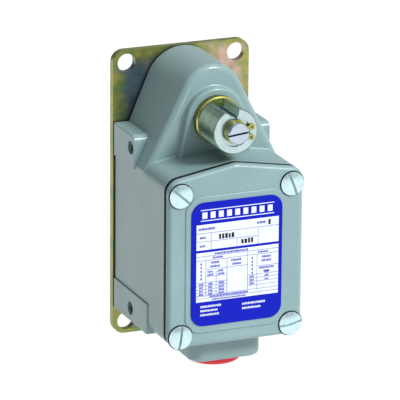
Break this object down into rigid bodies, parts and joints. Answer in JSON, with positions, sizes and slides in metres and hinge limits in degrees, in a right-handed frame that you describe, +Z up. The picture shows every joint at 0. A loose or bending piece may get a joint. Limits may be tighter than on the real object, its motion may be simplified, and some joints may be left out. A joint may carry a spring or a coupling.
{
  "type": "limit switch",
  "caption": "Heavy-duty rotary limit switch: sealed cast box with gasketed cover, arched shaft head, knurled lever shaft, bottom conduit hub and steel mounting plate.",
  "frame": {"origin": "centre of the mounting plate's rear face", "axes": "+X to the right and +Z up seen from the front, +Y into the surface it is bolted to; the lever shaft points along -Y"},
  "size_m": [0.0888, 0.0947, 0.1827],
  "materials": {
    "painted_casting": "semi-gloss blue-grey enamel",
    "chromate_plate": "yellow zinc chromate",
    "chromate_fittings": "yellow zinc chromate",
    "clear_zinc": "bright clear zinc",
    "spindle_steel": "ground and plated",
    "gear_steel": "oiled machined steel",
    "spring_steel": "music wire",
    "black_gasket": "matt",
    "nameplate_blue": "printed",
    "red_plastic": "moulded polyethylene",
    "nylon": "moulded nylon",
    "phenolic": "moulded phenolic",
    "bearing_bronze": "sintered bronze",
    "contact_brass": "stamped brass",
    "contact_silver": "silver alloy"
  },
  "bodies": {
    "switch_body": {"mounting_plate": "chromate_plate", "plate_gasket": "black_gasket", "plate_screws": "chromate_fittings", "housing": "painted_casting", "cover_gasket": "black_gasket", "cover": "painted_casting", "cover_screws": "clear_zinc", "cover_screw_captive_rings": "nylon", "nameplate": "nameplate_blue", "shaft_bushing": "chromate_fittings", "plunger_bushing": "bearing_bronze", "upper_return_spring": "spring_steel", "lower_return_spring": "spring_steel", "contact_block": "phenolic", "fixed_contact_tips": "contact_silver", "upper_fixed_contacts": "contact_brass", "lower_fixed_contacts": "contact_brass", "terminal_clamps": "clear_zinc", "terminal_screws": "clear_zinc", "contact_block_screws": "clear_zinc", "ground_clamp": "chromate_fittings", "ground_screw": "chromate_fittings"},
    "rotor": {"spindle": "spindle_steel", "spindle_seal": "black_gasket", "lever_sleeve": "clear_zinc", "drive_key": "clear_zinc", "sleeve_retaining_ring": "chromate_fittings", "thrust_washer": "clear_zinc", "spindle_circlip": "clear_zinc", "drive_pinion": "gear_steel", "pinion_clip": "clear_zinc"},
    "plunger": {"rack_plunger": "gear_steel", "plunger_clips": "clear_zinc", "upper_spring_washer": "clear_zinc", "lower_spring_washer": "clear_zinc", "contact_carrier": "nylon", "carrier_pin": "clear_zinc", "upper_contact_spring": "spring_steel", "lower_contact_spring": "spring_steel"},
    "upper_bridge_unit": {"upper_bridge": "contact_brass", "upper_bridge_tips": "contact_silver"},
    "lower_bridge_unit": {"lower_bridge": "contact_brass", "lower_bridge_tips": "contact_silver"},
    "transport_plug": {"conduit_plug": "red_plastic"}
  },
  "joints": [
    {"name": "spindle_turn", "type": "hinge", "parent": "switch_body", "child": "rotor", "pos_m": [0, 0, 0.0587], "axis": [0, -1, 0], "range_deg": [-45, 45], "stiffness_Nm_per_rad": 0.3},
    {"name": "plunger_slide", "type": "slide", "parent": "switch_body", "child": "plunger", "axis": [0, 0, 1], "range_m": [-0.0038, 0.0038], "deforming": ["upper_return_spring", "lower_return_spring"]},
    {"name": "upper_bridge_slide", "type": "slide", "parent": "plunger", "child": "upper_bridge_unit", "axis": [0, 0, 1], "range_m": [-0.002, 0], "stiffness_N_per_m": 400, "springref_m": 0.003, "deforming": ["upper_contact_spring"]},
    {"name": "lower_bridge_slide", "type": "slide", "parent": "plunger", "child": "lower_bridge_unit", "axis": [0, 0, 1], "range_m": [0, 0.002], "stiffness_N_per_m": 400, "springref_m": -0.003, "deforming": ["lower_contact_spring"]},
    {"name": "plug_pull", "type": "slide", "parent": "switch_body", "child": "transport_plug", "axis": [0, 0, -1], "range_m": [0, 0.06]}
  ],
  "couplings": [
    {"joint": "plunger_slide", "follows": "spindle_turn", "m_per_rad": -0.0048}
  ]
}
